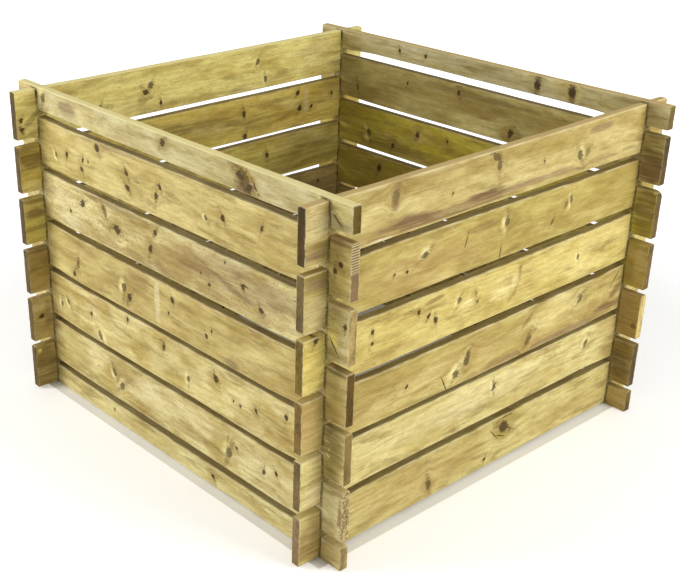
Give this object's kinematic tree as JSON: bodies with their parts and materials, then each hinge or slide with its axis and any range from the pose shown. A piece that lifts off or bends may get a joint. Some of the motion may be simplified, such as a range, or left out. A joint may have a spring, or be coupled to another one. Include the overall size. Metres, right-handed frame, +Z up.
{
  "type": "compost bin",
  "caption": "Square open garden compost bin of notched softwood boards stacked crosswise, with air gaps between the boards and no lid or floor.",
  "frame": {"origin": "on the ground in the middle of the bin", "axes": "+Z up; the front wall, which has a half-height rail at the bottom and the top, faces -Y; the right wall faces +X"},
  "size_m": [1, 1, 0.692],
  "materials": {
    "treated_softwood": "sawn pressure-treated softwood, pale olive with tan stains and brown end grain"
  },
  "bodies": {
    "bottom_rails": {"front_bottom_rail": "treated_softwood", "back_bottom_rail": "treated_softwood"},
    "side_course_1": {"left_board_1": "treated_softwood", "right_board_1": "treated_softwood"},
    "front_back_course_1": {"front_board_1": "treated_softwood", "back_board_1": "treated_softwood"},
    "side_course_2": {"left_board_2": "treated_softwood", "right_board_2": "treated_softwood"},
    "front_back_course_2": {"front_board_2": "treated_softwood", "back_board_2": "treated_softwood"},
    "side_course_3": {"left_board_3": "treated_softwood", "right_board_3": "treated_softwood"},
    "front_back_course_3": {"front_board_3": "treated_softwood", "back_board_3": "treated_softwood"},
    "side_course_4": {"left_board_4": "treated_softwood", "right_board_4": "treated_softwood"},
    "front_back_course_4": {"front_board_4": "treated_softwood", "back_board_4": "treated_softwood"},
    "side_course_5": {"left_board_5": "treated_softwood", "right_board_5": "treated_softwood"},
    "front_back_course_5": {"front_board_5": "treated_softwood", "back_board_5": "treated_softwood"},
    "side_course_6": {"left_board_6": "treated_softwood", "right_board_6": "treated_softwood"},
    "front_top_rail": {"front_top_rail": "treated_softwood"},
    "back_top_rail": {"back_top_rail": "treated_softwood"}
  },
  "joints": [
    {"name": "side_course_1_lift", "type": "slide", "parent": "bottom_rails", "child": "side_course_1", "axis": [0, 0, 1], "range_m": [0, 0.06]},
    {"name": "front_back_course_1_lift", "type": "slide", "parent": "side_course_1", "child": "front_back_course_1", "axis": [0, 0, 1], "range_m": [0, 0.06]},
    {"name": "side_course_2_lift", "type": "slide", "parent": "front_back_course_1", "child": "side_course_2", "axis": [0, 0, 1], "range_m": [0, 0.06]},
    {"name": "front_back_course_2_lift", "type": "slide", "parent": "side_course_2", "child": "front_back_course_2", "axis": [0, 0, 1], "range_m": [0, 0.06]},
    {"name": "side_course_3_lift", "type": "slide", "parent": "front_back_course_2", "child": "side_course_3", "axis": [0, 0, 1], "range_m": [0, 0.06]},
    {"name": "front_back_course_3_lift", "type": "slide", "parent": "side_course_3", "child": "front_back_course_3", "axis": [0, 0, 1], "range_m": [0, 0.06]},
    {"name": "side_course_4_lift", "type": "slide", "parent": "front_back_course_3", "child": "side_course_4", "axis": [0, 0, 1], "range_m": [0, 0.06]},
    {"name": "front_back_course_4_lift", "type": "slide", "parent": "side_course_4", "child": "front_back_course_4", "axis": [0, 0, 1], "range_m": [0, 0.06]},
    {"name": "side_course_5_lift", "type": "slide", "parent": "front_back_course_4", "child": "side_course_5", "axis": [0, 0, 1], "range_m": [0, 0.06]},
    {"name": "front_back_course_5_lift", "type": "slide", "parent": "side_course_5", "child": "front_back_course_5", "axis": [0, 0, 1], "range_m": [0, 0.06]},
    {"name": "side_course_6_lift", "type": "slide", "parent": "front_back_course_5", "child": "side_course_6", "axis": [0, 0, 1], "range_m": [0, 0.06]},
    {"name": "front_top_rail_lift", "type": "slide", "parent": "side_course_6", "child": "front_top_rail", "axis": [0, 0, 1], "range_m": [0, 0.06]},
    {"name": "back_top_rail_lift", "type": "slide", "parent": "side_course_6", "child": "back_top_rail", "axis": [0, 0, 1], "range_m": [0, 0.06]}
  ]
}
